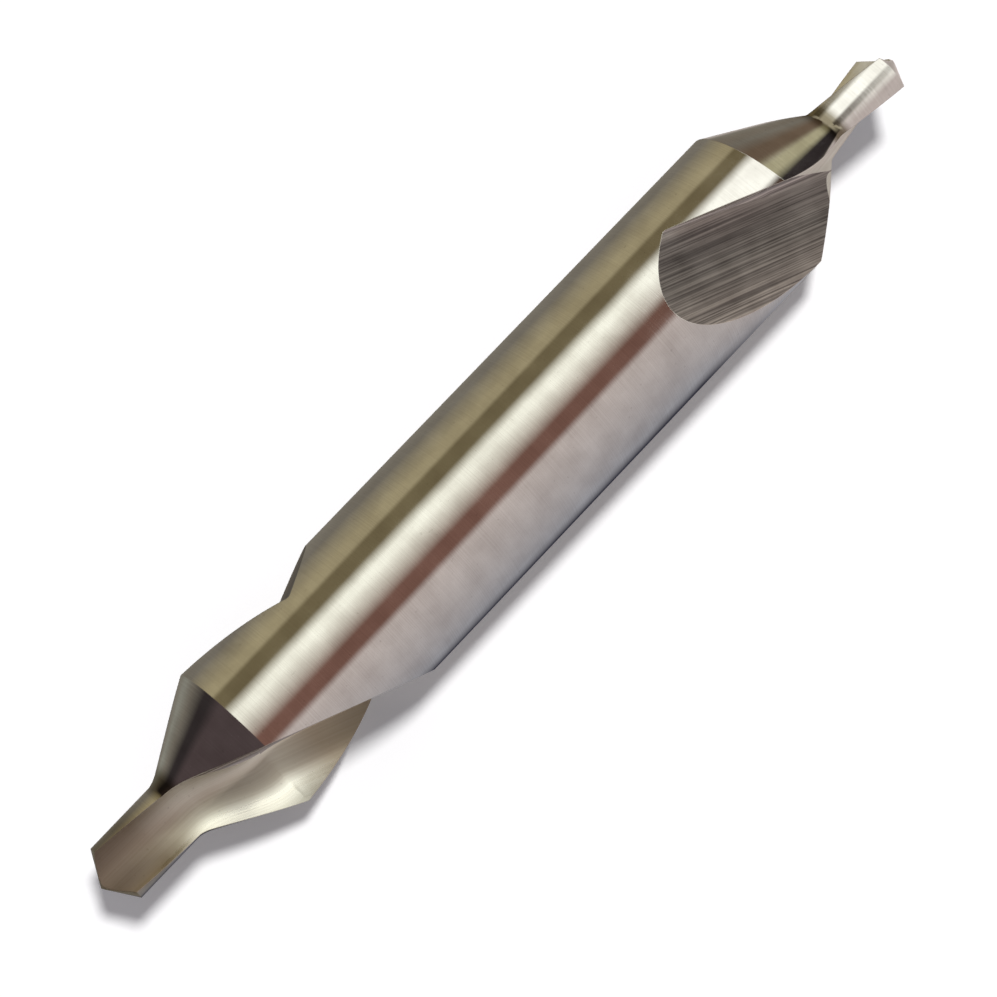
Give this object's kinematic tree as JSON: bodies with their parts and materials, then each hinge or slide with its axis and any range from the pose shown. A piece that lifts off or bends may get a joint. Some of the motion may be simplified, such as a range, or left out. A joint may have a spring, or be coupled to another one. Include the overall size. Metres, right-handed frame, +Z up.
{
  "type": "centre drill",
  "caption": "Double-ended centre drill: ground round shank with a fluted countersink and a short pilot drill at each end, for starting centre holes.",
  "frame": {"origin": "on the tool's axis, half way between the two tips", "axes": "+X along the axis towards one tip, +Z up as the tool lies in the picture"},
  "size_m": [0.0526, 0.008, 0.008],
  "materials": {
    "ground_steel": "bright ground high-speed steel"
  },
  "bodies": {
    "root": {"centre_drill": "ground_steel"}
  },
  "joints": []
}
